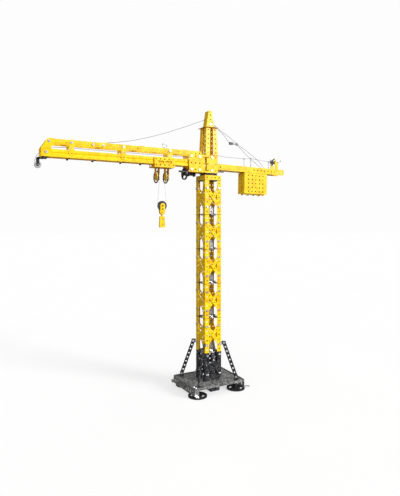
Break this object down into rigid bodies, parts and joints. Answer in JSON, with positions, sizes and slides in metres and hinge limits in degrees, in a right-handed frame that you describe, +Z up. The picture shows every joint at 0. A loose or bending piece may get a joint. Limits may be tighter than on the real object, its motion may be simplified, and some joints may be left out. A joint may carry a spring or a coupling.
{
  "type": "toy tower crane",
  "caption": "Toy tower crane of perforated metal strips: square base and lattice tower, slewing jib with trolley, hoist hook, counter-jib and counterweight.",
  "frame": {"origin": "underside of the centre support, on the floor under the tower axis", "axes": "+Z up along the tower and slew axis; -X along the jib; +Y to the crane's right when looking out along the jib"},
  "size_m": [0.7136, 0.1427, 0.765],
  "materials": {
    "yellow_metal": "semi-gloss enamel",
    "amber_metal": "semi-gloss enamel",
    "black_metal": "satin enamel",
    "base_grey": "satin enamel",
    "bolt_steel": "bright zinc plate",
    "cord": "matt twisted cord",
    "black_plastic": "matt",
    "yellow_plastic": "gloss"
  },
  "bodies": {
    "tower": {"base_plate": "base_grey", "centre_support": "black_metal", "feet_front": "black_plastic", "feet_back": "black_plastic", "corner_fittings": "bolt_steel", "base_columns": "black_metal", "base_braces": "black_metal", "corner_struts": "black_metal", "strut_brackets": "black_metal", "tower_columns_1": "yellow_metal", "tower_columns_2": "yellow_metal", "tower_columns_3": "yellow_metal", "tower_columns_4": "yellow_metal", "tower_columns_5": "yellow_metal", "tower_braces_1": "yellow_metal", "tower_braces_2": "yellow_metal", "tower_braces_3": "yellow_metal", "tower_braces_4": "yellow_metal", "tower_braces_5": "yellow_metal", "joint_plates": "black_metal", "joint_brackets": "bolt_steel", "tower_bolts": "bolt_steel", "collar": "yellow_metal", "lower_turntable": "black_metal"},
    "superstructure": {"upper_turntable": "black_metal", "housing_sides": "yellow_metal", "housing_ends": "yellow_metal", "jib_root_box": "amber_metal", "mast_legs": "yellow_metal", "mast_platform": "amber_metal", "mast_head": "yellow_metal", "upper_bolts": "bolt_steel", "jib_chords": "yellow_metal", "jib_rails": "yellow_metal", "jib_posts": "yellow_metal", "jib_tip_plates": "yellow_metal", "jib_fittings": "black_metal", "tip_clevis": "black_metal", "counter_jib": "yellow_metal", "counterweight_case": "yellow_metal", "counterweight_ballast": "black_metal", "line_posts": "bolt_steel", "winch_frame": "yellow_metal", "front_tie_cord": "cord", "back_stay_cords": "cord", "cord_lock": "black_plastic", "hoist_line": "cord"},
    "trolley": {"trolley_frame": "yellow_metal", "trolley_hangers": "amber_metal", "hoist_falls": "cord"},
    "hook_block": {"hook_plates": "yellow_metal", "hook_weight": "yellow_metal"},
    "hoist_winch": {"hoist_drum": "bolt_steel"},
    "trolley_winch": {"trolley_crank": "black_plastic"},
    "tip_pulley": {"tip_pulley": "bolt_steel"},
    "wheels_outer": {"wheels_outer": "black_metal"},
    "wheels_inner": {"wheels_inner": "black_metal"},
    "sheave_outer": {"sheave_outer": "yellow_plastic"},
    "sheave_inner": {"sheave_inner": "yellow_plastic"},
    "hook_wheel": {"hook_wheel": "black_plastic"}
  },
  "joints": [
    {"name": "slew", "type": "hinge", "parent": "tower", "child": "superstructure", "pos_m": [0, 0, 0.5876], "axis": [0, 0, 1], "continuous": true},
    {"name": "trolley_travel", "type": "slide", "parent": "superstructure", "child": "trolley", "axis": [-1, 0, 0], "range_m": [-0.015, 0.25]},
    {"name": "hoist", "type": "slide", "parent": "trolley", "child": "hook_block", "axis": [0, 0, -1], "range_m": [-0.02, 0.42], "deforming": ["hoist_falls"]},
    {"name": "winch_turn", "type": "hinge", "parent": "superstructure", "child": "hoist_winch", "pos_m": [0.22861, 0, 0.64], "axis": [0, -1, 0], "range_deg": [-260, 5353]},
    {"name": "trolley_winch_turn", "type": "hinge", "parent": "superstructure", "child": "trolley_winch", "pos_m": [-0.073, 0, 0.587], "axis": [1, 0, 0], "range_deg": [-196, 3189]},
    {"name": "tip_pulley_turn", "type": "hinge", "parent": "superstructure", "child": "tip_pulley", "pos_m": [-0.452, 0, 0.588], "axis": [0, 1, 0], "continuous": true},
    {"name": "wheels_outer_turn", "type": "hinge", "parent": "trolley", "child": "wheels_outer", "pos_m": [-0.161, 0, 0.6131], "axis": [0, 1, 0], "range_deg": [-3300, 300]},
    {"name": "wheels_inner_turn", "type": "hinge", "parent": "trolley", "child": "wheels_inner", "pos_m": [-0.121, 0, 0.6131], "axis": [0, 1, 0], "range_deg": [-3300, 300]},
    {"name": "sheave_outer_turn", "type": "hinge", "parent": "trolley", "child": "sheave_outer", "pos_m": [-0.155, 0, 0.575], "axis": [1, 0, 0], "continuous": true},
    {"name": "sheave_inner_turn", "type": "hinge", "parent": "trolley", "child": "sheave_inner", "pos_m": [-0.128, 0, 0.575], "axis": [1, 0, 0], "continuous": true},
    {"name": "hook_wheel_turn", "type": "hinge", "parent": "hook_block", "child": "hook_wheel", "pos_m": [-0.141, 0, 0.5], "axis": [0, 1, 0], "continuous": true}
  ],
  "couplings": [
    {"joint": "winch_turn", "follows": "hoist", "rad_per_m": 222.22},
    {"joint": "trolley_winch_turn", "follows": "trolley_travel", "rad_per_m": 222.22},
    {"joint": "wheels_outer_turn", "follows": "trolley_travel", "rad_per_m": -222.22},
    {"joint": "wheels_inner_turn", "follows": "trolley_travel", "rad_per_m": -222.22}
  ]
}
